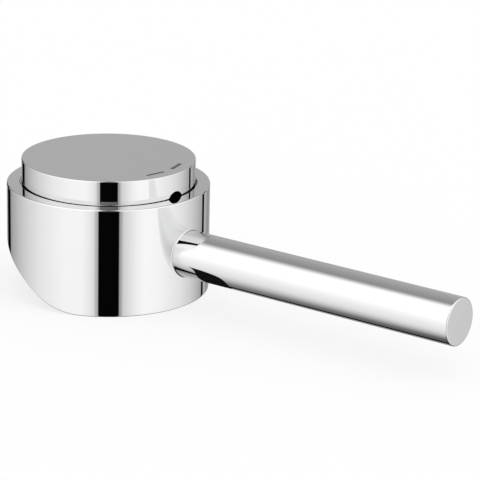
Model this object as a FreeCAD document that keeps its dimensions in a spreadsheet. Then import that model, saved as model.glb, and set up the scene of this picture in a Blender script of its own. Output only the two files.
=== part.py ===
import FreeCAD, Part
import math
import os

import Sketcher
from FreeCAD import Placement, Rotation, Vector

# Lever handle of a single-lever tap, in millimetres.
# +X runs along the lever rod, +Z up; the origin is on the turning axis in the plane of the lower rim.

SIZES = {
    # housing: a turned ring with a deck across it and a boss for the rod
    "body_radius": 26.0,
    "body_height": 27.9,
    "skirt_wall": 3.2,
    "ledge_width": 3.0,
    "cap_seat_depth": 5.4,
    "deck_thickness": 4.0,
    "ledge_chamfer": 0.35,
    "gap_chamfer": 0.1,
    "rim_chamfer": 0.3,
    "rod_seat_chamfer": 0.25,
    # how far a cut runs on past the material
    "cut_room": 5.0,
    # driver bush: a square socket for the cartridge's stem, and a six-sided neck in the deck
    "bush_radius": 8.5,
    "bush_mouth": 7.5,
    "bush_mouth_chamfer": 0.6,
    "bush_fit": 0.05,
    "neck_across": 12.0,
    "stem_square": 8.2,
    "stem_depth": 10.5,
    # relief of the rear rim: flat, then an arc, then a straight slope
    "relief_start": 10.9,
    "relief_radius": 27.3,
    "relief_angle": 29.0,
    # rod, screwed into the housing by its spigot
    "rod_radius": 6.0,
    "rod_height": 13.7,
    "rod_tip": 106.0,
    "rod_tip_chamfer": 0.45,
    "rod_seat_depth": 2.4,
    "rod_fit": 0.05,
    "spigot_radius": 4.0,
    "spigot_length": 12.0,
    "spigot_chamfer": 0.8,
    "spigot_end_room": 0.6,
    "boss_radius": 6.0,
    "boss_room": 0.5,
    # cap, with a collar that fits the housing's bore below a shallow groove, and a rubber ring that holds it
    "cap_rise": 6.3,
    "cap_gap": 0.8,
    "groove_depth": 0.45,
    "collar_fit": 0.05,
    "cap_plate": 2.2,
    "cap_wall": 2.8,
    "cap_chamfer": 0.25,
    "ring_cord": 1.6,
    "ring_corner": 0.4,
    "ring_below_ledge": 2.9,
    "ring_slot_room": 0.4,
    # notch in the cap's skirt, where a flat blade lifts the cap
    "notch_width": 5.3,
    "notch_rise": 1.6,
    # two inlaid marks on the cap
    "mark_inset": 3.3,
    "mark_angle": 13.0,
    "mark_length": 5.6,
    "mark_width": 0.7,
    "mark_depth": 0.3,
    "mark_sink": 0.03,
    # socket-head fixing screw
    "screw_radius": 2.5,
    "screw_length": 10.0,
    "screw_hole_room": 0.25,
    "screw_tip_chamfer": 0.5,
    "head_radius": 4.25,
    "head_height": 5.0,
    "head_chamfer": 0.4,
    "key_across": 4.0,
    "key_depth": 2.5,
}

doc = FreeCAD.newDocument("tap_handle")
sheet = doc.addObject("Spreadsheet::Sheet", "dims")
for row, (alias, value) in enumerate(SIZES.items(), start=1):
    sheet.set(f"A{row}", alias)
    sheet.set(f"B{row}", str(value))
    sheet.setAlias(f"B{row}", alias)
doc.recompute()


def cell(formula):
    """The formula with each size's alias written as a cell of the sheet."""
    words = []
    for word in formula.split():
        words.append(f"dims.{word}" if word in SIZES else word)
    return " ".join(words)


def value_of(formula):
    """The number that a formula of the sheet's sizes gives now."""
    return float(sheet.evalExpression(cell(formula)))


# levels and radii that several pieces share
DECK_TOP = "( body_height - cap_seat_depth )"
DECK_UNDER = "( body_height - cap_seat_depth - deck_thickness )"
CAP_TOP = "( body_height + cap_rise )"
CAVITY = "( body_radius - skirt_wall )"
BORE = "( body_radius - ledge_width )"
CAP_RADIUS = "( body_radius - ledge_width - cap_gap )"
COLLAR = "( body_radius - ledge_width - collar_fit )"
GROOVE_FLOOR = "( body_height - groove_depth )"
MARK_RADIUS = "( body_radius - ledge_width - cap_gap - mark_inset )"
RING_LEVEL = "( body_height - ring_below_ledge )"
ROD_SHOULDER = "( body_radius - rod_seat_depth )"


def new_body(name):
    body = doc.addObject("PartDesign::Body", name)
    body.Label = name
    return body


def plane_of(body, role):
    return next(item for item in body.Origin.OriginFeatures if item.Role == role)


def new_sketch(body, name, role, offset=None, turn=None):
    """A sketch on one of the body's origin planes, lifted by offset and turned about its normal."""
    sketch = body.newObject("Sketcher::SketchObject", name)
    sketch.AttachmentSupport = [(plane_of(body, role), "")]
    sketch.MapMode = "FlatFace"
    if offset:
        sketch.setExpression("AttachmentOffset.Base.z", cell(offset))
    if turn:
        sketch.AttachmentOffset = Placement(Vector(0, 0, 0), Rotation(Vector(0, 0, 1), value_of(turn)))
        sketch.setExpression("AttachmentOffset.Rotation.Angle", cell(turn))
    return sketch


def bind(sketch, kind, references, formula, name):
    """Add one dimension to the sketch and tie it to the sheet."""
    index = sketch.addConstraint(Sketcher.Constraint(kind, *references, value_of(formula)))
    sketch.renameConstraint(index, name)
    sketch.setExpression(f"Constraints.{name}", cell(formula))


def outline(sketch, corners):
    """A closed outline of straight edges; each corner is a pair of formulas."""
    spots = [Vector(value_of(across), value_of(along), 0) for across, along in corners]
    count = len(spots)
    for index in range(count):
        sketch.addGeometry(Part.LineSegment(spots[index], spots[(index + 1) % count]), False)
    for index in range(count):
        sketch.addConstraint(Sketcher.Constraint("Coincident", index, 2, (index + 1) % count, 1))
    for index, (across, along) in enumerate(corners):
        bind(sketch, "DistanceX", (-1, 1, index, 1), across, f"across_{index}")
        bind(sketch, "DistanceY", (-1, 1, index, 1), along, f"along_{index}")


def circle(sketch, along, radius):
    """A circle centred on the sketch's upright axis."""
    centre = Vector(0, value_of(along), 0)
    index = sketch.addGeometry(Part.Circle(centre, Vector(0, 0, 1), value_of(radius)), False)
    sketch.addConstraint(Sketcher.Constraint("PointOnObject", index, 3, -2))
    bind(sketch, "DistanceY", (-1, 1, index, 3), along, "along")
    bind(sketch, "Radius", (index,), radius, "radius")


def hexagon(sketch, across):
    """A six-sided outline about the sketch's origin, by its width across flats."""
    corners = []
    for corner in range(6):
        turn = f"{60 * corner} deg"
        reach = f"( {across} ) / sqrt( 3 )"
        corners.append((f"{reach} * cos( {turn} )", f"{reach} * sin( {turn} )"))
    outline(sketch, corners)


def revolve(body, name, corners):
    """A solid turned about the Z axis from an outline in the XZ plane."""
    sketch = new_sketch(body, f"{name}_profile", "XZ_Plane")
    outline(sketch, corners)
    feature = body.newObject("PartDesign::Revolution", name)
    feature.Profile = sketch
    feature.ReferenceAxis = (sketch, ["V_Axis"])
    feature.Angle = 360
    doc.recompute()


def pad(body, name, sketch, length):
    feature = body.newObject("PartDesign::Pad", name)
    feature.Profile = sketch
    feature.Length = value_of(length)
    feature.setExpression("Length", cell(length))
    doc.recompute()


def pocket(body, name, sketch, length, towards_normal, both_ways=False):
    """A cut from the sketch's plane, along its normal or against it; it must take material away."""
    before = body.Shape.Volume
    feature = body.newObject("PartDesign::Pocket", name)
    feature.Profile = sketch
    feature.Reversed = towards_normal
    feature.SideType = "Symmetric" if both_ways else "One side"
    feature.Length = value_of(length)
    feature.setExpression("Length", cell(length))
    doc.recompute()
    if not body.Shape.Volume < before:
        raise RuntimeError(f"{name} cuts nothing")


def chamfer(body, name, size, wanted):
    """A chamfer on the edges of the body's last feature for which wanted(edge) is true."""
    base = body.Tip
    names = []
    for index, edge in enumerate(base.Shape.Edges, start=1):
        if wanted(edge):
            names.append(f"Edge{index}")
    if not names:
        raise RuntimeError(f"{name} finds no edge")
    feature = body.newObject("PartDesign::Chamfer", name)
    feature.Base = (base, names)
    feature.Size = value_of(size)
    feature.setExpression("Size", cell(size))
    doc.recompute()


NEAR = 1e-4


def is_ring(edge, radius, height):
    """True for a full or part circle about the Z axis at that radius and height."""
    if not isinstance(edge.Curve, Part.Circle):
        return False
    centre = edge.Curve.Center
    on_axis = math.hypot(centre.x, centre.y) < NEAR
    return on_axis and abs(edge.Curve.Radius - radius) < NEAR and abs(centre.z - height) < NEAR


def points_on(edge, count=5):
    """Points spread along an edge."""
    first, last = edge.ParameterRange
    return [edge.valueAt(first + (last - first) * step / (count - 1)) for step in range(count)]


def on_cylinder(edge, radius):
    """True for an edge that lies on the upright cylinder of that radius about the Z axis."""
    return all(abs(math.hypot(spot.x, spot.y) - radius) < NEAR for spot in points_on(edge))


def make_lever_body():
    body = new_body("lever_body")

    # ring and deck as one turned section
    revolve(body, "housing", [
        ("0", DECK_UNDER),
        (CAVITY, DECK_UNDER),
        (CAVITY, "0"),
        ("body_radius", "0"),
        ("body_radius", "body_height"),
        (BORE, "body_height"),
        (BORE, DECK_TOP),
        ("0", DECK_TOP),
    ])

    # boss under the deck, from the driver bush to the ring, round the rod's spigot
    boss_start = "bush_radius + boss_room"
    boss = new_sketch(body, "boss_circle", "YZ_Plane", offset=boss_start)
    circle(boss, "rod_height", "boss_radius")
    pad(body, "rod_boss", boss, f"body_radius - skirt_wall / 2 - ( {boss_start} )")

    # rear relief: the rim leaves the flat on an arc and climbs in a straight slope
    slope = "relief_angle * 1 deg"
    arc_end = f"relief_start - relief_radius * sin( {slope} )"
    arc_rise = f"relief_radius * ( 1 - cos( {slope} ) )"
    outside = "( body_radius + cut_room )"
    slope_end = f"{arc_rise} + ( {arc_end} + {outside} ) * tan( {slope} )"
    below = f"-1 * {outside}"
    relief = new_sketch(body, "relief_profile", "XZ_Plane")
    outline_with_arc(relief, arc_end, arc_rise, below, slope_end)
    pocket(body, "rear_relief", relief, f"2 * {outside}", True, both_ways=True)

    # seat for the rod's full diameter, and the hole for its spigot
    seat = new_sketch(body, "rod_seat_circle", "YZ_Plane", offset=ROD_SHOULDER)
    circle(seat, "rod_height", "rod_radius + rod_fit")
    pocket(body, "rod_seat", seat, "rod_seat_depth + cut_room", True)
    hole_end = f"{ROD_SHOULDER} - spigot_length - spigot_end_room"
    hole = new_sketch(body, "spigot_circle", "YZ_Plane", offset=hole_end)
    circle(hole, "rod_height", "spigot_radius + rod_fit")
    pocket(body, "spigot_hole", hole, "spigot_length + spigot_end_room + rod_seat_depth", True)

    # six-sided hole through the deck for the driver bush's neck
    neck = new_sketch(body, "neck_hole_outline", "XY_Plane", offset=DECK_TOP)
    hexagon(neck, "neck_across + 2 * bush_fit")
    pocket(body, "neck_hole", neck, "deck_thickness + cut_room", False)

    # eased edges: ledge, gap, rim and rod seat
    radius = value_of("body_radius")
    height = value_of("body_height")
    bore = value_of(BORE)
    seat_reach = value_of("rod_radius + rod_fit")
    rod_height = value_of("rod_height")

    def round_rod(edge):
        away = [abs(math.hypot(spot.y, spot.z - rod_height) - seat_reach) for spot in points_on(edge)]
        return max(away) < NEAR and on_cylinder(edge, radius)

    def on_rim(edge):
        upright = isinstance(edge.Curve, Part.Line)
        top_ring = max(spot.z for spot in points_on(edge)) > height - 2 * value_of("ledge_chamfer")
        return on_cylinder(edge, radius) and not upright and not top_ring and not round_rod(edge)

    chamfer(body, "ledge_edge", "ledge_chamfer", lambda edge: is_ring(edge, radius, height))
    chamfer(body, "gap_edge", "gap_chamfer", lambda edge: is_ring(edge, bore, height))
    chamfer(body, "rim_edge", "rim_chamfer", on_rim)
    chamfer(body, "rod_seat_edge", "rod_seat_chamfer", round_rod)
    return body


def make_stem_bush():
    body = new_body("stem_bush")
    revolve(body, "bush", [
        ("0", "bush_mouth"),
        ("bush_radius - bush_mouth_chamfer", "bush_mouth"),
        ("bush_radius", "bush_mouth + bush_mouth_chamfer"),
        ("bush_radius", DECK_UNDER),
        ("0", DECK_UNDER),
    ])
    neck = new_sketch(body, "neck_outline", "XY_Plane", offset=DECK_UNDER)
    hexagon(neck, "neck_across")
    pad(body, "neck", neck, "deck_thickness")
    socket = new_sketch(body, "stem_square_outline", "XY_Plane", offset="bush_mouth")
    half = "stem_square / 2"
    back = "-1 * stem_square / 2"
    outline(socket, [(back, back), (half, back), (half, half), (back, half)])
    pocket(body, "stem_socket", socket, "stem_depth", True)
    screw = new_sketch(body, "screw_hole_circle", "XY_Plane", offset=DECK_TOP)
    circle(screw, "0", "screw_radius + screw_hole_room")
    pocket(body, "screw_hole", screw, f"{DECK_TOP} - bush_mouth - stem_depth / 2", False)
    return body


def outline_with_arc(sketch, arc_end, arc_rise, below, slope_end):
    """The relief's outline: an arc that leaves the rim plane, the slope, and a box round what is cut away."""
    start = Vector(value_of("relief_start"), 0, 0)
    centre = Vector(start.x, value_of("relief_radius"), 0)
    top = Vector(value_of(arc_end), value_of(arc_rise), 0)
    far = Vector(value_of(below), value_of(slope_end), 0)
    low_far = Vector(far.x, far.x, 0)
    low_start = Vector(start.x, far.x, 0)
    angles = [math.atan2(spot.y - centre.y, spot.x - centre.x) for spot in (top, start)]
    ring = Part.Circle(centre, Vector(0, 0, 1), value_of("relief_radius"))
    sketch.addGeometry(Part.ArcOfCircle(ring, *angles), False)
    for first, last in ((top, far), (far, low_far), (low_far, low_start), (low_start, start)):
        sketch.addGeometry(Part.LineSegment(first, last), False)
    # the arc runs from the slope to the rim plane, and the lines follow it round
    sketch.addConstraint(Sketcher.Constraint("Coincident", 0, 1, 1, 1))
    for index in (1, 2, 3):
        sketch.addConstraint(Sketcher.Constraint("Coincident", index, 2, index + 1, 1))
    sketch.addConstraint(Sketcher.Constraint("Coincident", 4, 2, 0, 2))
    sketch.addConstraint(Sketcher.Constraint("PointOnObject", 0, 2, -1))
    sketch.addConstraint(Sketcher.Constraint("Vertical", 2))
    sketch.addConstraint(Sketcher.Constraint("Horizontal", 3))
    sketch.addConstraint(Sketcher.Constraint("Vertical", 4))
    bind(sketch, "DistanceX", (-1, 1, 0, 3), "relief_start", "centre_across")
    bind(sketch, "DistanceY", (-1, 1, 0, 3), "relief_radius", "centre_along")
    bind(sketch, "DistanceX", (-1, 1, 0, 2), "relief_start", "start_across")
    bind(sketch, "DistanceX", (-1, 1, 0, 1), arc_end, "arc_end_across")
    bind(sketch, "DistanceX", (-1, 1, 1, 2), below, "far_across")
    bind(sketch, "DistanceY", (-1, 1, 1, 2), slope_end, "far_along")
    bind(sketch, "DistanceY", (-1, 1, 2, 2), below, "low_along")


def make_lever_rod():
    body = new_body("lever_rod")
    spigot_end = f"{ROD_SHOULDER} - spigot_length"
    axis = "rod_height"
    sketch = new_sketch(body, "rod_profile", "XZ_Plane")
    outline(sketch, [
        (spigot_end, axis),
        ("rod_tip", axis),
        ("rod_tip", f"{axis} + rod_radius - rod_tip_chamfer"),
        ("rod_tip - rod_tip_chamfer", f"{axis} + rod_radius"),
        (ROD_SHOULDER, f"{axis} + rod_radius"),
        (ROD_SHOULDER, f"{axis} + spigot_radius"),
        (f"{spigot_end} + spigot_chamfer", f"{axis} + spigot_radius"),
        (spigot_end, f"{axis} + spigot_radius - spigot_chamfer"),
    ])
    turned = body.newObject("PartDesign::Revolution", "turned_bar")
    turned.Profile = sketch
    turned.ReferenceAxis = (sketch, ["Edge1"])
    turned.Angle = 360
    doc.recompute()
    return body


def make_cover_cap():
    body = new_body("cover_cap")
    inner = f"{CAP_RADIUS} - cap_wall"
    slot_floor = f"{BORE} - ring_cord"
    slot_half = "( ring_cord + ring_slot_room ) / 2"
    revolve(body, "cap_shell", [
        (inner, DECK_TOP),
        (COLLAR, DECK_TOP),
        (COLLAR, f"{RING_LEVEL} - {slot_half}"),
        (slot_floor, f"{RING_LEVEL} - {slot_half}"),
        (slot_floor, f"{RING_LEVEL} + {slot_half}"),
        (COLLAR, f"{RING_LEVEL} + {slot_half}"),
        (COLLAR, GROOVE_FLOOR),
        (CAP_RADIUS, GROOVE_FLOOR),
        (CAP_RADIUS, f"{CAP_TOP} - cap_chamfer"),
        (f"{CAP_RADIUS} - cap_chamfer", CAP_TOP),
        ("0", CAP_TOP),
        ("0", f"{CAP_TOP} - cap_plate"),
        (inner, f"{CAP_TOP} - cap_plate"),
    ])

    # arched notch through the skirt above the rod, its sill level with the groove's floor
    notch = new_sketch(body, "notch_outline", "YZ_Plane")
    arch(notch)
    pocket(body, "pry_notch", notch, "body_radius", True)

    # slots for the two inlaid marks
    for name, turn in MARKS.items():
        slot = mark_sketch(body, f"{name}_slot_outline", turn)
        pocket(body, f"{name}_slot", slot, "mark_depth", False)
    return body


def arch(sketch):
    """The notch's outline: a level sill, short upright sides and an arc over them."""
    crown = "body_height + notch_rise"
    half = value_of("notch_width / 2")
    spring = value_of("body_height")
    low = value_of(GROOVE_FLOOR)
    left_low = Vector(-half, low, 0)
    right_low = Vector(half, low, 0)
    right = Vector(half, spring, 0)
    left = Vector(-half, spring, 0)
    over = Part.Arc(right, Vector(0, value_of(crown), 0), left)
    for first, last in ((left, left_low), (left_low, right_low), (right_low, right)):
        sketch.addGeometry(Part.LineSegment(first, last), False)
    sketch.addGeometry(over, False)
    for first, last in ((0, 1), (1, 2)):
        sketch.addConstraint(Sketcher.Constraint("Coincident", first, 2, last, 1))
    sketch.addConstraint(Sketcher.Constraint("Coincident", 2, 2, 3, 1))
    sketch.addConstraint(Sketcher.Constraint("Coincident", 3, 2, 0, 1))
    bind(sketch, "DistanceX", (-1, 1, 0, 1), "-1 * notch_width / 2", "left_across")
    bind(sketch, "DistanceX", (-1, 1, 2, 2), "notch_width / 2", "right_across")
    bind(sketch, "DistanceY", (-1, 1, 0, 1), "body_height", "left_along")
    bind(sketch, "DistanceY", (-1, 1, 2, 2), "body_height", "right_along")
    bind(sketch, "DistanceX", (-1, 1, 1, 1), "-1 * notch_width / 2", "low_left_across")
    bind(sketch, "DistanceX", (-1, 1, 1, 2), "notch_width / 2", "low_right_across")
    bind(sketch, "DistanceY", (-1, 1, 1, 1), GROOVE_FLOOR, "low_left_along")
    bind(sketch, "DistanceY", (-1, 1, 1, 2), GROOVE_FLOOR, "low_right_along")
    bind(sketch, "Radius", (3,), "( notch_width ^ 2 / 4 + notch_rise ^ 2 ) / ( 2 * notch_rise )", "arch")


# hot is on the user's left as the rod points at the user, cold on the right
MARKS = {"hot_mark": "-1 * mark_angle", "cold_mark": "mark_angle"}


def mark_sketch(body, name, turn):
    """One mark's rectangle on the cap's top, square to the line from the turning axis."""
    sketch = new_sketch(body, name, "XY_Plane", offset=CAP_TOP, turn=turn)
    inner = f"{MARK_RADIUS} - mark_width / 2"
    outer = f"{MARK_RADIUS} + mark_width / 2"
    half = "mark_length / 2"
    back = "-1 * mark_length / 2"
    outline(sketch, [(inner, back), (outer, back), (outer, half), (inner, half)])
    return sketch


def make_mark(name, turn):
    """Enamel that fills a mark's slot to just under the cap's top."""
    body = new_body(name)
    sketch = mark_sketch(body, f"{name}_outline", turn)
    sketch.setExpression("AttachmentOffset.Base.z", cell(f"{CAP_TOP} - mark_depth"))
    pad(body, f"{name}_fill", sketch, "mark_depth - mark_sink")
    return body


def make_cap_seal():
    """Rubber ring, pressed flat where it bears on the housing's bore and on the floor of the cap's slot."""
    body = new_body("cap_seal")
    inner = f"{BORE} - ring_cord"
    low = f"{RING_LEVEL} - ring_cord / 2"
    high = f"{RING_LEVEL} + ring_cord / 2"
    revolve(body, "seal", [
        (f"{inner} + ring_corner", low),
        (f"{BORE} - ring_corner", low),
        (BORE, f"{low} + ring_corner"),
        (BORE, f"{high} - ring_corner"),
        (f"{BORE} - ring_corner", high),
        (f"{inner} + ring_corner", high),
        (inner, f"{high} - ring_corner"),
        (inner, f"{low} + ring_corner"),
    ])
    return body


def make_fixing_screw():
    body = new_body("fixing_screw")
    head_top = f"{DECK_TOP} + head_height"
    tip = f"{DECK_TOP} - screw_length"
    revolve(body, "turned_screw", [
        ("0", tip),
        ("screw_radius - screw_tip_chamfer", tip),
        ("screw_radius", f"{tip} + screw_tip_chamfer"),
        ("screw_radius", DECK_TOP),
        ("head_radius", DECK_TOP),
        ("head_radius", f"{head_top} - head_chamfer"),
        ("head_radius - head_chamfer", head_top),
        ("0", head_top),
    ])
    key = new_sketch(body, "key_outline", "XY_Plane", offset=head_top)
    hexagon(key, "key_across")
    pocket(body, "key_socket", key, "key_depth", False)
    return body


pieces = [make_lever_body(), make_stem_bush(), make_lever_rod(), make_cover_cap()]
for mark_name, mark_turn in MARKS.items():
    pieces.append(make_mark(mark_name, mark_turn))
pieces.append(make_cap_seal())
pieces.append(make_fixing_screw())

doc.recompute()
for item in doc.Objects:
    if "Invalid" in item.State or "Error" in item.State:
        raise RuntimeError(f"{item.Name} failed: {item.State}")
for piece in pieces:
    if piece.Shape.isNull() or not piece.Shape.isValid():
        raise RuntimeError(f"{piece.Label} has no valid shape")
    if len(piece.Shape.Solids) != 1:
        raise RuntimeError(f"{piece.Label} is not one solid")

os.makedirs("parts", exist_ok=True)
for piece in pieces:
    piece.Shape.exportStep(f"parts/{piece.Label}.step")
    box = piece.Shape.BoundBox
    print(piece.Label, round(piece.Shape.Volume, 1), [round(side, 2) for side in
          (box.XMin, box.XMax, box.YMin, box.YMax, box.ZMin, box.ZMax)])
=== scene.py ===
import math

import bmesh
import bpy
from mathutils import Matrix, Vector


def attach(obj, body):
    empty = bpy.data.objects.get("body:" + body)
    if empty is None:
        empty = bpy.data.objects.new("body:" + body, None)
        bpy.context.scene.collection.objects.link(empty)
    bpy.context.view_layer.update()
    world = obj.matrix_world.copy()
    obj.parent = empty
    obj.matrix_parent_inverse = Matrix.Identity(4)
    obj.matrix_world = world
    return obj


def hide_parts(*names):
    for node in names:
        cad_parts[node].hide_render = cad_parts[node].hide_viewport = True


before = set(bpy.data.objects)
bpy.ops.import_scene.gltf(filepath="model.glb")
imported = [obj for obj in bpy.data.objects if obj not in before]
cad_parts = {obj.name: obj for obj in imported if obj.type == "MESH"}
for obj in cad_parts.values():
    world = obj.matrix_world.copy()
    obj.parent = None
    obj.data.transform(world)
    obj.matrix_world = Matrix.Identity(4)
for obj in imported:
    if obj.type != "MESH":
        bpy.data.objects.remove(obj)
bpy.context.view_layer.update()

# Lever handle of a single-lever tap. The frame is in metres: +X along the rod, +Z up, origin on the turning
# axis in the plane of the lower rim. Lengths below are millimetres, and MM makes them metres.
MM = 0.001

# housing: a ring with a deck across it
WALL_RADIUS = 26.0
LEDGE_HEIGHT = 27.9
CAVITY_RADIUS = 22.8
BORE_RADIUS = 22.7
DECK_TOP = 22.5
DECK_UNDER = 18.5
LEDGE_EASE = 0.38
BORE_EASE = 0.12
RIM_EASE = 0.3
DECK_EASE = 0.3
CAVITY_EASE = 0.4

# rear relief of the lower rim: flat, then an arc, then a straight slope
RELIEF_START = 10.9
RELIEF_RADIUS = 27.3
RELIEF_SLOPE = math.radians(29.0)

# rod, with a spigot that goes into the boss under the deck
ROD_RADIUS = 6.0
ROD_HEIGHT = 13.7
ROD_TIP = 106.0
ROD_SHOULDER = 23.6
ROD_EASE = 0.45
ROD_ROOM = 0.02
ROD_FILLET = 0.4
FILLET_ROOT = 1.6
SHOULDER_EASE = 0.2
SPIGOT_RADIUS = 4.0
SPIGOT_END = 11.6
SPIGOT_EASE = 0.8
SPIGOT_HOLE_END = 11.0
BOSS_START = 9.0
BOSS_END = 24.4
BOSS_RADIUS = 6.0
BOSS_EASE = 0.5

# cap, and the notch that lifts it off
CAP_RADIUS = 22.24
CAP_TOP = 34.2
CAP_EASE = 0.28
CAP_PLATE = 2.2
CAP_INNER = 19.4
PLATE_EASE = 0.5
SKIRT_EASE = 0.3
SEAL_LEVEL = 25.0
SEAL_CORD = 1.6
SEAL_SLOT = 1.0
SEAL_SQUEEZE = 1.06
COLLAR_RADIUS = 22.65
COLLAR_TOP = 26.2
NOTCH_SILL = 27.4
NOTCH_TURN = math.radians(-1.9)
NOTCH_WIDTH = 5.3
NOTCH_RISE = 1.6

# enamel marks on the cap
MARK_RADIUS = 18.9
MARK_ANGLE = math.radians(13.0)
MARK_LENGTH = 5.6
HOT_WIDTH = 0.85
COLD_WIDTH = 1.05
MARK_DEPTH = 0.3
MARK_SINK = 0.03
MARK_CORNER = 0.12
MARK_CUT = 1.0

# driver bush with its square socket, and the fixing screw
BUSH_RADIUS = 8.5
BUSH_MOUTH = 7.5
BUSH_EASE = 0.6
NECK_ACROSS = 12.0
NECK_ROOM = 0.05
STEM_SQUARE = 8.2
STEM_TOP = 18.0
SCREW_RADIUS = 2.5
SCREW_CORE = 2.05
SCREW_TIP = 12.5
SCREW_HOLE = 2.75
SCREW_EASE = 0.4
THREAD_PITCH = 0.8
THREAD_RUNOUT = 0.6
HEAD_RADIUS = 4.25
HEAD_CORE = 4.15
HEAD_TOP = 27.5
HEAD_EASE = 0.4
HEAD_FOOT_EASE = 0.1
KEY_ACROSS = 4.0
KEY_DEPTH = 2.5
KEY_CHAMFER = 0.2
KEY_POINT = 0.6
KNURL_COUNT = 48
KNURL_RIDGE = 0.14
KNURL_ABOVE_FOOT = 0.5
KNURL_BELOW_TOP = 0.7

# how finely round pieces, eased edges and small arcs are divided
STEPS_ROUND = 360
ROD_STEPS = 192
SEAL_STEPS = 180
SMALL_STEPS = 144
BOSS_STEPS = 96
EASE_STEPS = 5
SEAL_SECTION_STEPS = 24
ARCH_STEPS = 24
CORNER_STEPS = 3
THREAD_STEPS = 40
THREAD_SIDES = 4
KNURL_SIDES = 6
# how far a cutter goes past what it cuts, and the gap over which a turned piece's seam is closed
CUT_SPARE = 4.0
MERGE_GAP = 0.002
SHARP_EDGE = math.radians(32.0)


def collection_add(obj):
    bpy.context.scene.collection.objects.link(obj)
    return obj


# node trees


def put(tree, kind, inputs=None, **settings):
    """A node with its settings and its constant or linked inputs."""
    made = tree.nodes.new(kind)
    for name, value in settings.items():
        setattr(made, name, value)
    for key, value in (inputs or {}).items():
        if isinstance(value, bpy.types.NodeSocket):
            tree.links.new(value, made.inputs[key])
        else:
            made.inputs[key].default_value = value
    return made


def calc(tree, operation, first, second=0.0, third=0.0):
    """A Math node; each operand is a number or a socket."""
    made = put(tree, "ShaderNodeMath", {0: first, 1: second, 2: third}, operation=operation)
    return made.outputs[0]


def piece_tree(name, inputs):
    """A new tree that puts out a piece, with its named inputs and a finish."""
    tree = bpy.data.node_groups.new(name, "GeometryNodeTree")
    for title, kind in inputs + [("Finish", "Material")]:
        tree.interface.new_socket(title, in_out="INPUT", socket_type="NodeSocket" + kind)
    tree.interface.new_socket("Piece", in_out="OUTPUT", socket_type="NodeSocketGeometry")
    return tree, put(tree, "NodeGroupInput").outputs


def ended(tree, shape, finish):
    """The end of every tree: a plain mesh with its finish."""
    plain = put(tree, "GeometryNodeRealizeInstances", {"Geometry": shape})
    finished = put(tree, "GeometryNodeSetMaterial", {"Geometry": plain.outputs[0], "Material": finish})
    put(tree, "NodeGroupOutput", {"Piece": finished.outputs[0]})
    return tree


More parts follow.
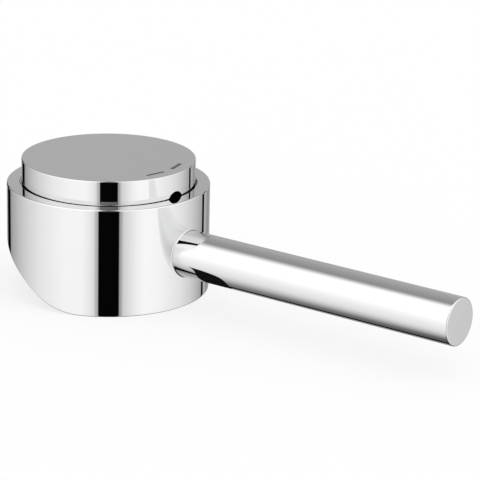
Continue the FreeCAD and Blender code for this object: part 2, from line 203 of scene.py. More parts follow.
def turned_tree():
    """Turns a half section about Z. Its points carry how far they follow the rear relief, and their flats."""
    tree, given = piece_tree("turned_piece", [
        ("Section", "Geometry"), ("Steps Round", "Int"), ("Relief Start", "Float"), ("Relief Radius", "Float"),
        ("Relief Slope", "Float"),
    ])

    # a grid with one row for each point of the section and one column for each step round
    rows = put(tree, "GeometryNodeAttributeDomainSize", {"Geometry": given["Section"]}).outputs["Point Count"]
    columns = calc(tree, "ADD", given["Steps Round"], 1.0)
    grid = put(tree, "GeometryNodeMeshGrid", {"Vertices X": columns, "Vertices Y": rows})
    index = put(tree, "GeometryNodeInputIndex").outputs[0]
    column = calc(tree, "FLOOR", calc(tree, "DIVIDE", calc(tree, "ADD", index, 0.5), rows))
    row = calc(tree, "SUBTRACT", index, calc(tree, "MULTIPLY", column, rows))

    def sampled(kind, field):
        return put(tree, "GeometryNodeSampleIndex", {
            "Geometry": given["Section"], "Value": field, "Index": row,
        }, data_type=kind, domain="POINT").outputs[0]

    def carried(name):
        return put(tree, "GeometryNodeInputNamedAttribute", {"Name": name}, data_type="FLOAT").outputs[0]

    where = put(tree, "GeometryNodeInputPosition").outputs[0]
    spot = put(tree, "ShaderNodeSeparateXYZ", {0: sampled("FLOAT_VECTOR", where)})
    follows = sampled("FLOAT", carried("follows_relief"))
    flats = sampled("FLOAT", carried("flats"))
    flat_turn = sampled("FLOAT", carried("flat_turn"))

    # a flat-sided hole or neck: the radius is that of the flats, and grows towards the corners
    turn = calc(tree, "MULTIPLY", calc(tree, "DIVIDE", column, given["Steps Round"]), 2 * math.pi)
    share = calc(tree, "DIVIDE", 2 * math.pi, calc(tree, "MAXIMUM", flats, 1.0))
    off_flat = calc(tree, "SUBTRACT", calc(tree, "FLOORED_MODULO", calc(tree, "ADD", turn, flat_turn), share),
                    calc(tree, "MULTIPLY", share, 0.5))
    to_corner = calc(tree, "DIVIDE", 1.0, calc(tree, "COSINE", off_flat))
    has_flats = calc(tree, "GREATER_THAN", flats, 1.0)
    growth = calc(tree, "MULTIPLY_ADD", calc(tree, "SUBTRACT", to_corner, 1.0), has_flats, 1.0)
    radius = calc(tree, "MULTIPLY", spot.outputs["X"], growth)
    across = calc(tree, "MULTIPLY", radius, calc(tree, "COSINE", turn))
    along = calc(tree, "MULTIPLY", radius, calc(tree, "SINE", turn))

    # the relief lifts the rim behind its start, first on an arc and then on a slope
    behind = calc(tree, "MAXIMUM", calc(tree, "SUBTRACT", given["Relief Start"], across), 0.0)
    arc_reach = calc(tree, "MULTIPLY", given["Relief Radius"], calc(tree, "SINE", given["Relief Slope"]))
    on_arc = calc(tree, "MINIMUM", behind, arc_reach)
    square = calc(tree, "SUBTRACT", calc(tree, "POWER", given["Relief Radius"], 2.0),
                  calc(tree, "POWER", on_arc, 2.0))
    arc_lift = calc(tree, "SUBTRACT", given["Relief Radius"], calc(tree, "SQRT", square))
    slope_lift = calc(tree, "MULTIPLY", calc(tree, "SUBTRACT", behind, on_arc),
                      calc(tree, "TANGENT", given["Relief Slope"]))
    lift = calc(tree, "MULTIPLY", calc(tree, "ADD", arc_lift, slope_lift), follows)
    height = calc(tree, "ADD", spot.outputs["Z"], lift)

    place = put(tree, "ShaderNodeCombineXYZ", {"X": across, "Y": along, "Z": height}).outputs[0]
    shaped = put(tree, "GeometryNodeSetPosition", {"Geometry": grid.outputs["Mesh"], "Position": place})
    closed = put(tree, "GeometryNodeMergeByDistance", {
        "Geometry": shaped.outputs[0], "Distance": MERGE_GAP * MM})
    return ended(tree, closed.outputs[0], given["Finish"])


def thread_tree():
    """A screw thread: one ridge that follows a helix."""
    tree, given = piece_tree("screw_thread", [
        (title, "Float") for title in ("Core Radius", "Outer Radius", "Pitch", "Start", "Length")
    ])
    turns = calc(tree, "DIVIDE", given["Length"], given["Pitch"])
    helix = put(tree, "GeometryNodeCurveSpiral", {
        "Resolution": THREAD_STEPS, "Rotations": turns, "Height": given["Length"],
        "Start Radius": given["Core Radius"], "End Radius": given["Core Radius"]})
    start = put(tree, "ShaderNodeCombineXYZ", {"Z": given["Start"]}).outputs[0]
    placed = put(tree, "GeometryNodeTransform", {"Geometry": helix.outputs[0], "Translation": start})
    ridge_radius = calc(tree, "SUBTRACT", given["Outer Radius"], given["Core Radius"])
    ridge = put(tree, "GeometryNodeCurvePrimitiveCircle", {"Resolution": THREAD_SIDES, "Radius": ridge_radius})
    swept = put(tree, "GeometryNodeCurveToMesh", {
        "Curve": placed.outputs[0], "Profile Curve": ridge.outputs[0], "Fill Caps": True})
    return ended(tree, swept.outputs[0], given["Finish"])


def knurl_tree():
    """Upright ridges set round a screw head."""
    tree, given = piece_tree("head_knurl", [
        ("Ridges", "Int"), ("Radius", "Float"), ("Low", "Float"), ("High", "Float"), ("Ridge Radius", "Float"),
    ])
    ring = put(tree, "GeometryNodeCurvePrimitiveCircle", {
        "Resolution": given["Ridges"], "Radius": given["Radius"]})
    spots = put(tree, "GeometryNodeCurveToPoints", {"Curve": ring.outputs[0]}, mode="EVALUATED")
    tall = calc(tree, "SUBTRACT", given["High"], given["Low"])
    ridge = put(tree, "GeometryNodeMeshCylinder", {
        "Vertices": KNURL_SIDES, "Radius": given["Ridge Radius"], "Depth": tall})
    copies = put(tree, "GeometryNodeInstanceOnPoints", {
        "Points": spots.outputs["Points"], "Instance": ridge.outputs["Mesh"]})
    middle = calc(tree, "MULTIPLY", calc(tree, "ADD", given["High"], given["Low"]), 0.5)
    lifted = put(tree, "GeometryNodeTransform", {
        "Geometry": copies.outputs[0],
        "Translation": put(tree, "ShaderNodeCombineXYZ", {"Z": middle}).outputs[0]})
    return ended(tree, lifted.outputs[0], given["Finish"])


def grown(obj, tree, values):
    """Runs a tree on an object and keeps the result as its plain mesh."""
    modifier = obj.modifiers.new(tree.name, "NODES")
    modifier.node_group = tree
    for item in tree.interface.items_tree:
        if item.in_out == "INPUT" and item.name in values:
            modifier[item.identifier] = values[item.name]
    return made_plain(obj)


def made_plain(obj):
    """Turns an object's modifiers into its mesh."""
    bpy.context.view_layer.update()
    shape = obj.evaluated_get(bpy.context.evaluated_depsgraph_get())
    mesh = bpy.data.meshes.new_from_object(shape)
    mesh.name = obj.name
    obj.modifiers.clear()
    obj.data = mesh
    return obj


# shapes


def eased(corners):
    """The points of a half section. A corner is radius, height and a dict with its ease, relief or flats."""
    points = []
    count = len(corners)
    for place, (radius, height, traits) in enumerate(corners):
        ease = traits.get("ease", 0.0)
        spot = Vector((radius, height))
        if ease == 0.0 or place in (0, count - 1):
            points.append((spot, traits))
            continue
        before = Vector(corners[place - 1][:2]) - spot
        after = Vector(corners[place + 1][:2]) - spot
        first = spot + before.normalized() * ease
        last = spot + after.normalized() * ease
        for step in range(EASE_STEPS + 1):
            share = step / EASE_STEPS
            between = first.lerp(spot, share).lerp(spot.lerp(last, share), share)
            points.append((between, traits))
    return points


def turned(name, corners, finish, steps=STEPS_ROUND):
    """A piece turned about Z from the corners of its half section."""
    points = eased(corners)
    mesh = bpy.data.meshes.new(name)
    mesh.from_pydata([(spot.x * MM, 0.0, spot.y * MM) for spot, traits in points], [], [])
    for trait, usual in (("follows_relief", 0.0), ("flats", 0.0), ("flat_turn", 0.0)):
        carried = mesh.attributes.new(trait, "FLOAT", "POINT")
        carried.data.foreach_set("value", [float(traits.get(trait, usual)) for spot, traits in points])
    obj = collection_add(bpy.data.objects.new(name, mesh))
    grown(obj, TURNED, {
        "Steps Round": steps, "Relief Start": RELIEF_START * MM, "Relief Radius": RELIEF_RADIUS * MM,
        "Relief Slope": RELIEF_SLOPE, "Finish": finish})
    faces_out(obj.data)
    return obj


def faces_out(mesh):
    shape = bmesh.new()
    shape.from_mesh(mesh)
    bmesh.ops.recalc_face_normals(shape, faces=shape.faces)
    shape.to_mesh(mesh)
    shape.free()


def along_rod(obj):
    """Lays a piece that was turned about Z along the rod's axis."""
    obj.data.transform(Matrix.Translation((0, 0, ROD_HEIGHT * MM)) @ Matrix.Rotation(math.pi / 2, 4, "Y"))
    return obj


def solid_of(name, points, faces, finish):
    mesh = bpy.data.meshes.new(name)
    mesh.from_pydata([tuple(value * MM for value in point) for point in points], [], faces)
    mesh.materials.append(finish)
    faces_out(mesh)
    return collection_add(bpy.data.objects.new(name, mesh))


def prism(name, outline, low, high, finish, place=Matrix.Identity(4)):
    """A closed outline in the XY plane drawn out from low to high, then put in its place."""
    count = len(outline)
    points = [(x, y, low) for x, y in outline] + [(x, y, high) for x, y in outline]
    faces = [tuple(range(count)), tuple(range(count, 2 * count))]
    for index in range(count):
        after = (index + 1) % count
        faces.append((index, after, count + after, count + index))
    made = solid_of(name, points, faces, finish)
    made.data.transform(place)
    return made


def used_up(obj):
    """Takes away an object and its mesh."""
    mesh = obj.data
    bpy.data.objects.remove(obj)
    bpy.data.meshes.remove(mesh)


def joined(obj, other, operation):
    """Adds another solid to a piece or cuts it out of it; the other solid is used up."""
    modifier = obj.modifiers.new(operation.lower(), "BOOLEAN")
    modifier.object = other
    modifier.operation = operation
    modifier.solver = "EXACT"
    made_plain(obj)
    used_up(other)
    return obj


def smoothed(obj):
    """Smooth shading that keeps flat faces flat and real edges sharp."""
    obj.data.polygons.foreach_set("use_smooth", [True] * len(obj.data.polygons))
    obj.data.set_sharp_from_angle(angle=SHARP_EDGE)
    weighted = obj.modifiers.new("flat_faces", "WEIGHTED_NORMAL")
    weighted.keep_sharp = True
    return made_plain(obj)


def ring_points(radius, count):
    return [(radius * math.cos(2 * math.pi * step / count), radius * math.sin(2 * math.pi * step / count))
            for step in range(count)]


# finishes


def surface_group(name, inputs, outputs):
    """An empty shader node group with named inputs and outputs."""
    tree = bpy.data.node_groups.new(name, "ShaderNodeTree")
    for title, kind in inputs:
        tree.interface.new_socket(title, in_out="INPUT", socket_type=kind)
    for title, kind in outputs:
        tree.interface.new_socket(title, in_out="OUTPUT", socket_type=kind)
    return tree


def blend(tree, share, low, high):
    """A Mix node between two colours, whose sockets are the seventh and the eighth."""
    return put(tree, "ShaderNodeMix", {"Factor": share, 6: low, 7: high}, data_type="RGBA").outputs[2]


def handling_group():
    """Faint wipe marks and haze of a handled surface: a changing roughness, tone and height."""
    tree = surface_group("handling", [
        ("Vector", "NodeSocketVector"), ("Roughness", "NodeSocketFloat"), ("Haze", "NodeSocketFloat"),
        ("Tone Low", "NodeSocketColor"), ("Tone High", "NodeSocketColor"),
    ], [("Roughness", "NodeSocketFloat"), ("Tone", "NodeSocketColor"), ("Height", "NodeSocketFloat")])
    given = put(tree, "NodeGroupInput").outputs
    cloud = put(tree, "ShaderNodeTexNoise", {"Vector": given["Vector"], "Scale": 90.0, "Detail": 3.0})
    stretched = put(tree, "ShaderNodeMapping", {"Vector": given["Vector"], "Rotation": (0.2, 0.5, 0.3),
                                                "Scale": (300.0, 4200.0, 4200.0)})
    wipe = put(tree, "ShaderNodeTexNoise", {"Vector": stretched.outputs[0], "Scale": 1.0, "Detail": 2.0})
    half_cloud = calc(tree, "MULTIPLY", cloud.outputs["Fac"], 0.5)
    both = calc(tree, "MULTIPLY_ADD", wipe.outputs["Fac"], 0.5, half_cloud)
    rough = calc(tree, "MULTIPLY_ADD", both, given["Haze"], given["Roughness"])
    tone = blend(tree, cloud.outputs["Fac"], given["Tone Low"], given["Tone High"])
    put(tree, "NodeGroupOutput", {"Roughness": rough, "Tone": tone, "Height": both})
    return tree


def finish_base(name):
    """A new material with its shader, and the tree to draw on."""
    material = bpy.data.materials.new(name)
    material.use_nodes = True
    return material, material.node_tree, material.node_tree.nodes["Principled BSDF"]


def handled(tree, rough, haze, low, high):
    """The handling group placed in a material, on the piece's own coordinates."""
    where = put(tree, "ShaderNodeTexCoord").outputs["Object"]
    made = put(tree, "ShaderNodeGroup", {
        "Vector": where, "Roughness": rough, "Haze": haze, "Tone Low": (*low, 1.0), "Tone High": (*high, 1.0),
    }, node_tree=HANDLING)
    return where, made.outputs


def toned(tree, shader, marks):
    """Leads the handling group's tone and roughness to the shader."""
    tree.links.new(marks["Tone"], shader.inputs["Base Color"])
    tree.links.new(marks["Roughness"], shader.inputs["Roughness"])


def raised(tree, shader, height, distance):
    """A fine relief on the surface, as deep as the distance."""
    bump = put(tree, "ShaderNodeBump", {"Height": height, "Distance": distance, "Strength": 1.0})
    tree.links.new(bump.outputs[0], shader.inputs["Normal"])


CHROME_LOW = (0.697, 0.699, 0.702)
CHROME_HIGH = (0.716, 0.717, 0.72)
CHROME_ROUGH = 0.004
CHROME_HAZE = 0.012
CHROME_RELIEF = 0.0004
CAST_TONE = (0.52, 0.51, 0.49, 1.0)
CAST_ROUGH = 0.28
CAST_ROUGH_SPREAD = 0.25
CAST_RELIEF = 40.0
# the cast inside begins this far outside the cavity's wall and this far below the deck's top
CAST_REACH = 0.1
CAST_DROP = 0.5


def chrome(name):
    """Bright chrome plate, with faint haze."""
    material, tree, shader = finish_base(name)
    marks = handled(tree, CHROME_ROUGH, CHROME_HAZE, CHROME_LOW, CHROME_HIGH)[1]
    toned(tree, shader, marks)
    shader.inputs["Metallic"].default_value = 1.0
    raised(tree, shader, marks["Height"], CHROME_RELIEF * MM)
    return material


def housing_chrome():
    """Bright chrome outside; inside the skirt the plate is thin and the cast metal's grain shows."""
    material, tree, shader = finish_base("housing_chrome")
    where, marks = handled(tree, CHROME_ROUGH, CHROME_HAZE, CHROME_LOW, CHROME_HIGH)
    spot = put(tree, "ShaderNodeSeparateXYZ", {0: where}).outputs
    squares = calc(tree, "ADD", calc(tree, "POWER", spot["X"], 2.0), calc(tree, "POWER", spot["Y"], 2.0))
    within = calc(tree, "LESS_THAN", calc(tree, "SQRT", squares), (CAVITY_RADIUS + CAST_REACH) * MM)
    beneath = calc(tree, "LESS_THAN", spot["Z"], (DECK_TOP - CAST_DROP) * MM)
    inside = calc(tree, "MULTIPLY", within, beneath)
    grain = put(tree, "ShaderNodeTexNoise", {"Vector": where, "Scale": 2600.0, "Detail": 4.0}).outputs["Fac"]
    dull = calc(tree, "MULTIPLY_ADD", grain, CAST_ROUGH_SPREAD, CAST_ROUGH)
    rough = put(tree, "ShaderNodeMix", {
        "Factor": inside, "A": marks["Roughness"], "B": dull}, data_type="FLOAT").outputs[0]
    toned(tree, shader, {"Tone": blend(tree, inside, marks["Tone"], CAST_TONE), "Roughness": rough})
    shader.inputs["Metallic"].default_value = 1.0
    cast = calc(tree, "MULTIPLY", calc(tree, "MULTIPLY", grain, inside), CAST_RELIEF)
    raised(tree, shader, calc(tree, "ADD", cast, marks["Height"]), CHROME_RELIEF * MM)
    return material


def enamel(name, low, high):
    """Soft enamel, poured into a slot and wiped level."""
    material, tree, shader = finish_base(name)
    where, marks = handled(tree, rough=0.32, haze=0.2, low=low, high=high)
    toned(tree, shader, marks)
    pits = put(tree, "ShaderNodeTexNoise", {"Vector": where, "Scale": 5000.0, "Detail": 2.0}).outputs["Fac"]
    raised(tree, shader, pits, distance=0.01 * MM)
    return material


def rubber():
    """Dull black rubber with a moulded skin."""
    material, tree, shader = finish_base("seal_rubber")
    where, marks = handled(tree, rough=0.6, haze=0.25, low=(0.018, 0.018, 0.019), high=(0.035, 0.035, 0.036))
    toned(tree, shader, marks)
    skin = put(tree, "ShaderNodeTexNoise", {"Vector": where, "Scale": 4000.0, "Detail": 3.0}).outputs["Fac"]
    raised(tree, shader, skin, distance=0.01 * MM)
    return material


def bush_plastic():
    """Moulded plastic with a spark-eroded grain."""
    material, tree, shader = finish_base("bush_plastic")
    where, marks = handled(tree, rough=0.45, haze=0.2, low=(0.1, 0.1, 0.104), high=(0.14, 0.14, 0.145))
    toned(tree, shader, marks)
    grain = put(tree, "ShaderNodeTexVoronoi", {"Vector": where, "Scale": 3500.0}).outputs["Distance"]
    raised(tree, shader, grain, distance=0.02 * MM)
    return material


def screw_steel():
    """Rolled stainless steel, with lines round the turning axis."""
    material, tree, shader = finish_base("screw_steel")
    where, marks = handled(tree, rough=0.24, haze=0.16, low=(0.5, 0.5, 0.51), high=(0.6, 0.6, 0.61))
    toned(tree, shader, marks)
    shader.inputs["Metallic"].default_value = 1.0
    squeezed = put(tree, "ShaderNodeMapping", {"Vector": where, "Scale": (200.0, 200.0, 9000.0)}).outputs[0]
    lines = put(tree, "ShaderNodeTexNoise", {"Vector": squeezed, "Scale": 1.0, "Detail": 2.0}).outputs["Fac"]
    raised(tree, shader, lines, distance=0.004 * MM)
    return material


HANDLING = handling_group()
HOUSING_CHROME = housing_chrome()
ROD_CHROME = chrome("rod_chrome")
CAP_CHROME = chrome("cap_chrome")
HOT_ENAMEL = enamel("hot_enamel", (0.012, 0.012, 0.012), (0.02, 0.02, 0.02))
COLD_ENAMEL = enamel("cold_enamel", (0.06, 0.06, 0.06), (0.085, 0.085, 0.085))
SEAL_RUBBER = rubber()
BUSH_PLASTIC = bush_plastic()
SCREW_STEEL = screw_steel()

TURNED = turned_tree()
THREAD = thread_tree()
KNURL = knurl_tree()


# the pieces


def tube_of(name, line_at):
    """A solid round the rod's axis; line_at gives its outline at each turn, as radius and place on X."""
    points = []
    for step in range(ROD_STEPS):
        turn = 2 * math.pi * step / ROD_STEPS
        for reach, along in line_at(turn):
            points.append((along, reach * math.sin(turn), ROD_HEIGHT + reach * math.cos(turn)))
    width = len(points) // ROD_STEPS
    faces = [tuple(step * width + end for step in range(ROD_STEPS)) for end in (0, width - 1)]
    for step in range(ROD_STEPS):
        here = step * width
        after = (step + 1) % ROD_STEPS * width
        faces += [(here + row, after + row, after + row + 1, here + row + 1) for row in range(width - 1)]
    return solid_of(name, points, faces, HOUSING_CHROME)


def rod_fillet():
    """The small fillet that leads from the wall to the rod, along the saddle line where they meet."""
    def line_at(turn):
        def wall_at(reach):
            return math.sqrt(WALL_RADIUS ** 2 - (reach * math.sin(turn)) ** 2)

        first = Vector((ROD_RADIUS + ROD_FILLET, wall_at(ROD_RADIUS + ROD_FILLET)))
        corner = Vector((ROD_RADIUS, wall_at(ROD_RADIUS)))
        last = corner + Vector((0.0, ROD_FILLET))
        line = [(ROD_RADIUS + ROD_FILLET, WALL_RADIUS - FILLET_ROOT)]
        for bend in range(2 * EASE_STEPS + 1):
            share = bend / (2 * EASE_STEPS)
            line.append(tuple(first.lerp(corner, share).lerp(corner.lerp(last, share), share)))
        return line + [(SPIGOT_RADIUS, WALL_RADIUS + 2 * ROD_FILLET)]

    return tube_of("rod_fillet", line_at)


def seat_cutter():
    """What the rod's seat and the hole for its spigot take out of the housing."""
    bore = ROD_RADIUS + ROD_ROOM
    hole = SPIGOT_RADIUS + ROD_ROOM
    line = [
        (hole, SPIGOT_HOLE_END), (hole, ROD_SHOULDER),
        (bore, ROD_SHOULDER), (bore, WALL_RADIUS + CUT_SPARE),
    ]
    return tube_of("seat_cutter", lambda turn: line)


def make_housing():
    rim = {"follows_relief": 1.0}
    rim_edge = {"follows_relief": 1.0, "ease": RIM_EASE}
    neck = {"flats": 6}
    housing = turned("housing", [
        (NECK_ACROSS / 2 + NECK_ROOM, DECK_UNDER, neck),
        (CAVITY_RADIUS, DECK_UNDER, {"ease": CAVITY_EASE}),
        (CAVITY_RADIUS, RIM_EASE * 2, rim),
        (CAVITY_RADIUS, 0.0, rim_edge),
        ((CAVITY_RADIUS + WALL_RADIUS) / 2, 0.0, rim),
        (WALL_RADIUS, 0.0, rim_edge),
        (WALL_RADIUS, RIM_EASE * 2, rim),
        (WALL_RADIUS, LEDGE_HEIGHT, {"ease": LEDGE_EASE}),
        (BORE_RADIUS, LEDGE_HEIGHT, {"ease": BORE_EASE}),
        (BORE_RADIUS, DECK_TOP, {"ease": DECK_EASE}),
        (NECK_ACROSS / 2 + NECK_ROOM, DECK_TOP, neck),
        (NECK_ACROSS / 2 + NECK_ROOM, DECK_UNDER, neck),
    ], HOUSING_CHROME)
    boss = along_rod(turned("boss", [
        (0.0, BOSS_START, {}),
        (BOSS_RADIUS, BOSS_START, {"ease": BOSS_EASE}),
        (BOSS_RADIUS, BOSS_END, {}),
        (0.0, BOSS_END, {}),
    ], HOUSING_CHROME, steps=BOSS_STEPS))
    joined(housing, boss, "UNION")
    joined(housing, rod_fillet(), "UNION")
    joined(housing, seat_cutter(), "DIFFERENCE")
    return smoothed(housing)


def make_rod():
    rod = along_rod(turned("rod", [
        (0.0, SPIGOT_END, {}),
        (SPIGOT_RADIUS, SPIGOT_END, {"ease": SPIGOT_EASE}),
        (SPIGOT_RADIUS, ROD_SHOULDER, {}),
        (ROD_RADIUS, ROD_SHOULDER, {"ease": SHOULDER_EASE}),
        (ROD_RADIUS, ROD_TIP, {"ease": ROD_EASE}),
        (0.0, ROD_TIP, {}),
    ], ROD_CHROME, steps=ROD_STEPS))
    return smoothed(rod)


def notch_cutter():
    """The arched notch through the cap's skirt, above the rod."""
    half = NOTCH_WIDTH / 2
    arch_radius = (half ** 2 + NOTCH_RISE ** 2) / (2 * NOTCH_RISE)
    spread = math.asin(half / arch_radius)
    crown = LEDGE_HEIGHT + NOTCH_RISE
    outline = [(-half, NOTCH_SILL), (half, NOTCH_SILL)]
    for step in range(ARCH_STEPS + 1):
        swing = spread * (1 - 2 * step / ARCH_STEPS)
        outline.append((arch_radius * math.sin(swing), crown - arch_radius * (1 - math.cos(swing))))
    upright = Matrix(((0, 0, 1, 0), (1, 0, 0, 0), (0, 1, 0, 0), (0, 0, 0, 1)))
    return prism("notch", outline, CAP_INNER - CUT_SPARE, CAP_RADIUS + CUT_SPARE, CAP_CHROME,
                 Matrix.Rotation(NOTCH_TURN, 4, "Z") @ upright)


def mark_outline(wide):
    """A mark's bar, square to the line from the turning axis, with slightly eased corners."""
    outline = []
    for side, end, start in ((1, -1, -90), (1, 1, 0), (-1, 1, 90), (-1, -1, 180)):
        for step in range(CORNER_STEPS + 1):
            swing = math.radians(start + 90 * step / CORNER_STEPS)
            outline.append((MARK_RADIUS + side * (wide / 2 - MARK_CORNER) + MARK_CORNER * math.cos(swing),
                            end * (MARK_LENGTH / 2 - MARK_CORNER) + MARK_CORNER * math.sin(swing)))
    return outline


def make_cap():
    slot_floor = BORE_RADIUS - SEAL_CORD
    cap = turned("cap", [
        (0.0, CAP_TOP - CAP_PLATE, {}),
        (CAP_INNER, CAP_TOP - CAP_PLATE, {"ease": PLATE_EASE}),
        (CAP_INNER, DECK_TOP, {"ease": SKIRT_EASE}),
        (COLLAR_RADIUS, DECK_TOP, {"ease": SKIRT_EASE}),
        (COLLAR_RADIUS, SEAL_LEVEL - SEAL_SLOT, {}),
        (slot_floor, SEAL_LEVEL - SEAL_SLOT, {}),
        (slot_floor, SEAL_LEVEL + SEAL_SLOT, {}),
        (COLLAR_RADIUS, SEAL_LEVEL + SEAL_SLOT, {}),
        (COLLAR_RADIUS, COLLAR_TOP, {}),
        (CAP_RADIUS, COLLAR_TOP, {}),
        (CAP_RADIUS, CAP_TOP, {"ease": CAP_EASE}),
        (0.0, CAP_TOP, {}),
    ], CAP_CHROME)
    joined(cap, notch_cutter(), "DIFFERENCE")
    for turn, wide in ((-MARK_ANGLE, HOT_WIDTH), (MARK_ANGLE, COLD_WIDTH)):
        slot = prism("mark_slot", mark_outline(wide), CAP_TOP - MARK_DEPTH, CAP_TOP + MARK_CUT, CAP_CHROME,
                     Matrix.Rotation(turn, 4, "Z"))
        joined(cap, slot, "DIFFERENCE")
    return smoothed(cap)


def make_mark(name, turn, wide, finish):
    mark = prism(name, mark_outline(wide), CAP_TOP - MARK_DEPTH, CAP_TOP - MARK_SINK, finish,
                 Matrix.Rotation(turn, 4, "Z"))
    return smoothed(mark)


def make_seal():
    """The rubber ring, squeezed a little flat between the bore and the slot's floor."""
    middle = BORE_RADIUS - SEAL_CORD / 2
    corners = []
    for step in range(SEAL_SECTION_STEPS + 1):
        swing = 2 * math.pi * step / SEAL_SECTION_STEPS
        reach = min(1.0, SEAL_SQUEEZE * abs(math.cos(swing))) * math.copysign(1.0, math.cos(swing))
        corners.append((middle + SEAL_CORD / 2 * reach, SEAL_LEVEL + SEAL_CORD / 2 * math.sin(swing), {}))
    return smoothed(turned("seal", corners, SEAL_RUBBER, steps=SEAL_STEPS))


def make_bush():
    square = {"flats": 4, "flat_turn": math.pi / 4}
    neck = {"flats": 6}
    bush = turned("bush", [
        (STEM_SQUARE / 2, BUSH_MOUTH, square),
        (BUSH_RADIUS, BUSH_MOUTH, {"ease": BUSH_EASE}),
        (BUSH_RADIUS, DECK_UNDER, {}),
        (NECK_ACROSS / 2, DECK_UNDER, neck),
        (NECK_ACROSS / 2, DECK_TOP, neck),
        (SCREW_HOLE, DECK_TOP, {}),
        (SCREW_HOLE, STEM_TOP, {}),
        (STEM_SQUARE / 2, STEM_TOP, square),
        (STEM_SQUARE / 2, BUSH_MOUTH, square),
    ], BUSH_PLASTIC, steps=SMALL_STEPS)
    return smoothed(bush)


def make_screw():
    key = {"flats": 6}
    screw = turned("screw", [
        (0.0, SCREW_TIP, {}),
        (SCREW_CORE, SCREW_TIP, {"ease": SCREW_EASE}),
        (SCREW_CORE, DECK_TOP, {}),
        (HEAD_CORE, DECK_TOP, {"ease": HEAD_FOOT_EASE}),
        (HEAD_CORE, HEAD_TOP, {"ease": HEAD_EASE}),
        (KEY_ACROSS / 2 + KEY_CHAMFER, HEAD_TOP, key),
        (KEY_ACROSS / 2, HEAD_TOP - KEY_CHAMFER, key),
        (KEY_ACROSS / 2, HEAD_TOP - KEY_DEPTH, key),
        (0.0, HEAD_TOP - KEY_DEPTH - KEY_POINT, {}),
    ], SCREW_STEEL, steps=SMALL_STEPS)
    smoothed(screw)
    thread = collection_add(bpy.data.objects.new("thread", bpy.data.meshes.new("thread")))
    grown(thread, THREAD, {
        "Core Radius": SCREW_CORE * MM, "Outer Radius": SCREW_RADIUS * MM, "Pitch": THREAD_PITCH * MM,
        "Start": (SCREW_TIP + THREAD_RUNOUT) * MM, "Length": (DECK_TOP - SCREW_TIP - 2 * THREAD_RUNOUT) * MM,
        "Finish": SCREW_STEEL})
    knurl = collection_add(bpy.data.objects.new("knurl", bpy.data.meshes.new("knurl")))
    grown(knurl, KNURL, {
        "Ridges": KNURL_COUNT, "Radius": (HEAD_RADIUS - KNURL_RIDGE) * MM, "Ridge Radius": KNURL_RIDGE * MM,
        "Low": (DECK_TOP + KNURL_ABOVE_FOOT) * MM, "High": (HEAD_TOP - KNURL_BELOW_TOP) * MM,
        "Finish": SCREW_STEEL})
    whole = bmesh.new()
    for source in (screw, thread, knurl):
        whole.from_mesh(source.data)
    whole.to_mesh(screw.data)
    whole.free()
    used_up(thread)
    used_up(knurl)
    return smoothed(screw)


def placed(piece, node, slot):
    """A piece stands for its solid in the frame: it hangs from the root and the solid is hidden. slot: not used.
    """
    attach(piece, "root")
    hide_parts(node)


placed(make_housing(), "lever_body", "housing_chrome")
placed(make_rod(), "lever_rod", "rod_chrome")
placed(make_cap(), "cover_cap", "cap_chrome")
placed(make_mark("hot_line", -MARK_ANGLE, HOT_WIDTH, HOT_ENAMEL), "hot_mark", "hot_enamel")
placed(make_mark("cold_line", MARK_ANGLE, COLD_WIDTH, COLD_ENAMEL), "cold_mark", "cold_enamel")
placed(make_seal(), "cap_seal", "seal_rubber")
placed(make_bush(), "stem_bush", "bush_plastic")
placed(make_screw(), "fixing_screw", "screw_steel")


# studio

CAMERA_PLACE = Vector((0.3929, -0.4864, 0.2154))
CAMERA_AIM = Vector((-0.5566, 0.7712, -0.3089)).normalized()
CAMERA_RIGHT = Vector((0.8109, 0.5852, 0.0)).normalized()
CAMERA_ROLL = math.radians(-1.228)
CAMERA_LENS = 190.88
CAMERA_SENSOR = 36.0
CAMERA_NEAR = 0.01
CAMERA_FAR = 20.0
CAMERA_BEARING = math.atan2(CAMERA_PLACE.y, CAMERA_PLACE.x)

# light of the studio's walls, and then of its ceiling: bearing from the camera in degrees, and level, both fitted
# to the reflections that the photograph shows
WALLS = [
    (-180, 0.298), (-166, 0.31), (-143, 0.31), (-125, 0.47), (-105, 0.63), (-80, 0.79), (-50, 0.90),
    (-30, 0.90), (-21, 0.80), (-15.8, 0.68), (-14.4, 0.45), (-12, 0.43), (12, 0.33), (14.8, 0.36),
    (16.4, 0.60), (19, 0.65), (23, 0.71), (27, 0.78), (33, 0.86), (42, 0.93), (60, 0.90), (90, 0.75),
    (108, 0.60), (130, 0.36), (143, 0.40), (152, 0.25), (158, 0.24), (167, 0.36), (173, 0.285), (180, 0.298),
]
CEILING = [
    (-180, 0.28), (-160, 0.24), (-140, 0.22), (-126, 0.40), (-110, 0.72), (-95, 0.95), (-80, 1.0), (-20, 1.0),
    (30, 0.80), (60, 0.80), (80, 0.68), (95, 0.60), (110, 0.47), (125, 0.34), (150, 0.31), (180, 0.28),
]
CEILING_GAIN = 1.2
# black flags before the walls: bearing, half width and soft edge in degrees, how many degrees the flag leans
# and widens for each degree below the flags' foot, and whether it reaches over the ceiling
FLAGS = [
    (0.4, 11.8, 0.8, 0.0, 0.0, True),
    (136.3, 3.0, 0.8, 0.0, 0.0, False),
    (-154.0, 7.5, 2.0, -0.8, 0.4, False),
]
FLAG_FOOT = -40.0
FLAG_LEVEL = 0.004
# the flag that reaches over the ceiling lets some light through above the camera, so that the cap's top isn't
# black from behind
FLAG_TOP = math.sin(math.radians(3.0))
FLAG_OPEN = math.sin(math.radians(7.0))
FLAG_THROUGH = 0.35
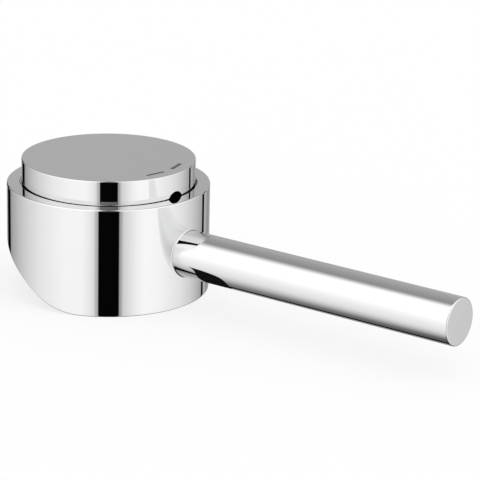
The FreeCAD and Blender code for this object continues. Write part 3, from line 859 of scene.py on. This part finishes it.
# share of the walls' light by elevation in degrees: they fade towards the floor
WALL_FADE = [
    (-90, 0.03), (-62, 0.16), (-56, 0.38), (-50, 0.53), (-40, 0.68), (-28, 0.77), (-18, 0.8), (0, 0.9),
    (12, 1.0),
]
WALL_GAIN = 1.25
CEILING_START = math.sin(math.radians(24.0))
CEILING_FULL = math.sin(math.radians(40.0))
# the share of light that the chrome gives back, made up for in the studio's strength
CHROME_RETURN = 0.708
# a round black card under the handle, which only the chrome sees: painted shade, standing in for the floor's
# contact shadow as the chrome reflects it
SHADOW_CARD_RADIUS = 29.5
SHADOW_CARD_LEVEL = -8.0
SHADOW_CARD_THICKNESS = 0.5
SHADOW_CARD_STEPS = 180
FLOOR_RADIUS = 4000.0
FLOOR_THICKNESS = 1.0
FLOOR_STEPS = 96
# how much of the floor's own light the camera sees
FLOOR_GLOW = 0.75


def make_camera():
    up = CAMERA_RIGHT.cross(CAMERA_AIM)
    right = CAMERA_RIGHT * math.cos(CAMERA_ROLL) - up * math.sin(CAMERA_ROLL)
    top = CAMERA_RIGHT * math.sin(CAMERA_ROLL) + up * math.cos(CAMERA_ROLL)
    data = bpy.data.cameras.new("camera")
    data.lens = CAMERA_LENS
    data.sensor_width = CAMERA_SENSOR
    data.clip_start = CAMERA_NEAR
    data.clip_end = CAMERA_FAR
    camera = collection_add(bpy.data.objects.new("camera", data))
    turn = Matrix((right, top, -CAMERA_AIM)).transposed().to_4x4()
    camera.matrix_world = Matrix.Translation(CAMERA_PLACE) @ turn
    bpy.context.scene.camera = camera


def light_ramp(tree, share, stops):
    """A ramp of light levels; stops are places from 0 to 1."""
    made = put(tree, "ShaderNodeValToRGB", {"Fac": share})
    ramp = made.color_ramp
    while len(ramp.elements) > 1:
        ramp.elements.remove(ramp.elements[-1])
    for index, (place, level) in enumerate(stops):
        element = ramp.elements[0] if index == 0 else ramp.elements.new(place)
        element.position = place
        element.color = (level, level, level, 1.0)
    return made.outputs["Color"]


def make_world():
    """White to the camera, even to matt surfaces, and a studio of lit walls and flags to bright metal."""
    world = bpy.data.worlds.new("studio")
    bpy.context.scene.world = world
    world.use_nodes = True
    tree = world.node_tree
    tree.nodes.clear()
    towards = put(tree, "ShaderNodeTexCoord").outputs["Generated"]
    turned_round = put(tree, "ShaderNodeVectorRotate", {"Vector": towards, "Angle": -CAMERA_BEARING},
                       rotation_type="Z_AXIS").outputs[0]
    spot = put(tree, "ShaderNodeSeparateXYZ", {0: turned_round}).outputs
    bearing = calc(tree, "MULTIPLY_ADD", calc(tree, "ARCTAN2", spot["Y"], spot["X"]), 0.5 / math.pi, 0.5)
    lift = calc(tree, "MULTIPLY_ADD", calc(tree, "ARCSINE", spot["Z"]), 1.0 / math.pi, 0.5)
    walls = light_ramp(tree, bearing, [((angle + 180) / 360, level) for angle, level in WALLS])
    ceiling = light_ramp(tree, bearing, [((angle + 180) / 360, level) for angle, level in CEILING])
    fade = light_ramp(tree, lift, [((angle + 90) / 180, level) for angle, level in WALL_FADE])
    faded = calc(tree, "MULTIPLY", walls, fade)
    level = calc(tree, "MINIMUM", calc(tree, "MULTIPLY", faded, WALL_GAIN), 1.0)
    depth = calc(tree, "MAXIMUM", calc(tree, "SUBTRACT", (FLAG_FOOT + 90) / 180, lift), 0.0)
    above = calc(tree, "MULTIPLY", ceiling, CEILING_GAIN)
    over = put(tree, "ShaderNodeMapRange", {
        "Value": spot["Z"], "From Min": FLAG_TOP, "From Max": FLAG_OPEN, "To Max": FLAG_THROUGH,
    }, interpolation_type="SMOOTHSTEP").outputs[0]
    for angle, half, soft, lean, growth, tall in FLAGS:
        middle = calc(tree, "MULTIPLY_ADD", depth, lean / 2, (angle + 180) / 360)
        beside = calc(tree, "SUBTRACT", bearing, middle)
        around = calc(tree, "FLOORED_MODULO", calc(tree, "ADD", beside, 0.5), 1.0)
        away = calc(tree, "ABSOLUTE", calc(tree, "SUBTRACT", around, 0.5))
        outside = calc(tree, "SUBTRACT", away, calc(tree, "MULTIPLY", depth, growth / 2))
        open_side = put(tree, "ShaderNodeMapRange", {
            "Value": outside, "From Min": (half - soft) / 360, "From Max": (half + soft) / 360,
            "To Min": FLAG_LEVEL,
        }, interpolation_type="SMOOTHSTEP").outputs[0]
        if tall:
            above = calc(tree, "MULTIPLY", above, open_side)
            open_side = calc(tree, "MAXIMUM", open_side, over)
        level = calc(tree, "MULTIPLY", level, open_side)
    upward = put(tree, "ShaderNodeMapRange", {
        "Value": spot["Z"], "From Min": CEILING_START, "From Max": CEILING_FULL,
    }, interpolation_type="SMOOTHSTEP").outputs[0]
    room = put(tree, "ShaderNodeMix", {0: upward, 2: level, 3: above}, data_type="FLOAT").outputs[0]
    studio = put(tree, "ShaderNodeBackground", {"Color": room, "Strength": 1.0 / CHROME_RETURN})
    white = put(tree, "ShaderNodeBackground", {"Color": (1.0, 1.0, 1.0, 1.0), "Strength": 1.0})
    path = put(tree, "ShaderNodeLightPath").outputs
    chosen = put(tree, "ShaderNodeMixShader", {
        0: path["Is Glossy Ray"], 1: white.outputs[0], 2: studio.outputs[0]})
    put(tree, "ShaderNodeOutputWorld", {"Surface": chosen.outputs[0]})


def paper(name, fineness, detail, low, high):
    """Matt paper with a faint fibre between two greys."""
    finish, tree, shader = finish_base(name)
    where = put(tree, "ShaderNodeTexCoord").outputs["Object"]
    fibre = put(tree, "ShaderNodeTexNoise", {"Vector": where, "Scale": fineness, "Detail": detail})
    tone = blend(tree, fibre.outputs["Fac"], (low, low, low, 1.0), (high, high, high, 1.0))
    tree.links.new(tone, shader.inputs["Base Color"])
    shader.inputs["Roughness"].default_value = 1.0
    shader.inputs["Specular IOR Level"].default_value = 0.0
    return finish, tree, shader


def make_floor():
    """A pale floor that keeps the handle's soft shadow and stays out of the chrome."""
    finish, tree, shader = paper("floor_paper", fineness=400.0, detail=3.0, low=0.985, high=1.0)
    glow = put(tree, "ShaderNodeEmission", {"Color": (1.0, 1.0, 1.0, 1.0), "Strength": 1.0})
    path = put(tree, "ShaderNodeLightPath").outputs
    share = calc(tree, "MULTIPLY", path["Is Camera Ray"], FLOOR_GLOW)
    mixed = put(tree, "ShaderNodeMixShader", {0: share, 1: shader.outputs[0], 2: glow.outputs[0]})
    tree.links.new(mixed.outputs[0], tree.nodes["Material Output"].inputs["Surface"])
    floor = prism("floor", ring_points(FLOOR_RADIUS, FLOOR_STEPS), -FLOOR_THICKNESS, 0.0, finish)
    floor.visible_glossy = False


def make_painted_shadow_card():
    """The round black card below the floor line, seen in the chrome under the rod: a painted shadow that stands
    in for the contact shadow the chrome reflects there.
    """
    # painted shade: near-black paper that is hidden from the camera, matt light and shadows, so that only the
    # chrome sees it as the floor's contact shadow
    finish = paper("painted_shadow_card", fineness=900.0, detail=2.0, low=0.004, high=0.012)[0]
    shade_card = prism("shade_card", ring_points(SHADOW_CARD_RADIUS, SHADOW_CARD_STEPS), SHADOW_CARD_LEVEL - SHADOW_CARD_THICKNESS, SHADOW_CARD_LEVEL, finish)
    shade_card.visible_camera = False
    shade_card.visible_diffuse = False
    shade_card.visible_shadow = False


make_camera()
make_world()
make_floor()
make_painted_shadow_card()
bpy.context.scene.view_settings.view_transform = "Standard"
